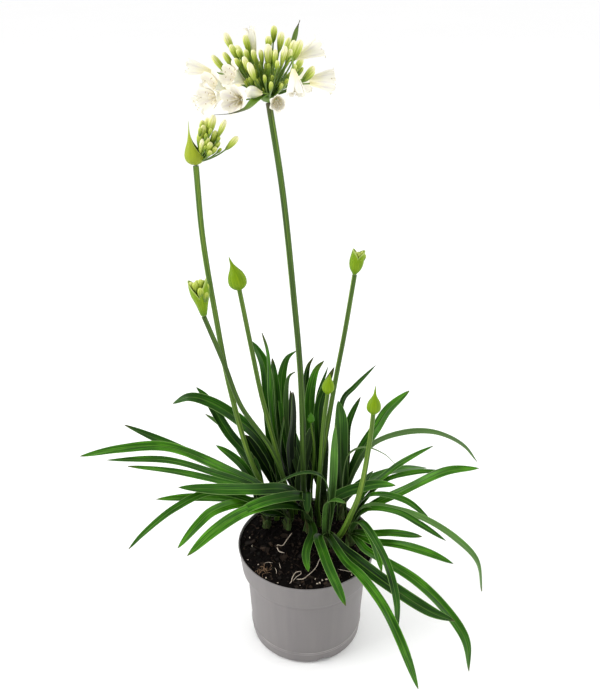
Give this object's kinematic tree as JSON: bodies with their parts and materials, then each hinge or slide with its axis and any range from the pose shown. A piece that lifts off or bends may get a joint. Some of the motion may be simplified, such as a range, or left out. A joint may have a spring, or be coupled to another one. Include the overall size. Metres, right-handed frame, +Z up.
{
  "type": "potted agapanthus plant",
  "caption": "Agapanthus in a round plastic nursery pot: fans of arching strap leaves and upright stems that carry white flower heads and closed buds; a decorative garden plant.",
  "frame": {"origin": "middle of the pot's flat underside, on the surface that it stands on", "axes": "+Z up along the pot's axis; +Y away from the viewer, so that the side that is seen in front faces -Y; +X to the viewer's right"},
  "size_m": [0.4796, 0.3812, 0.7339],
  "materials": {
    "pot_plastic": "matte",
    "potting_mix": "matte",
    "leaf": "satin",
    "flower_stem": "satin",
    "bud": "satin",
    "petal": "matte"
  },
  "bodies": {
    "root": {"pot": "pot_plastic", "soil": "potting_mix", "shoot_left": "leaf", "shoot_mid_left": "leaf", "shoot_centre": "leaf", "shoot_back_left": "leaf", "shoot_back": "leaf", "shoot_back_right": "leaf", "shoot_right_back": "leaf", "shoot_right": "leaf", "shoot_right_front": "leaf", "shoot_front": "leaf", "stem_main": "flower_stem", "stem_half_open": "flower_stem", "stem_left_bursting": "flower_stem", "stem_right_bursting": "flower_stem", "stem_tall_bud": "flower_stem", "stem_short_bud": "flower_stem", "stem_beaked_bud": "flower_stem", "stem_tiny_bud": "flower_stem", "umbel_main": "bud", "umbel_half_open": "bud", "umbel_left_bursting": "bud", "umbel_right_bursting": "bud", "bloom_01": "petal", "bloom_02": "petal", "bloom_03": "petal", "bloom_04": "petal", "bloom_05": "petal", "bloom_06": "petal", "bloom_07": "petal", "bloom_08": "petal", "bloom_09": "petal", "bloom_10": "petal", "bloom_11": "petal", "bloom_12": "petal", "bloom_13": "petal", "bloom_14": "petal", "bloom_15": "petal", "bloom_16": "petal"}
  },
  "joints": []
}
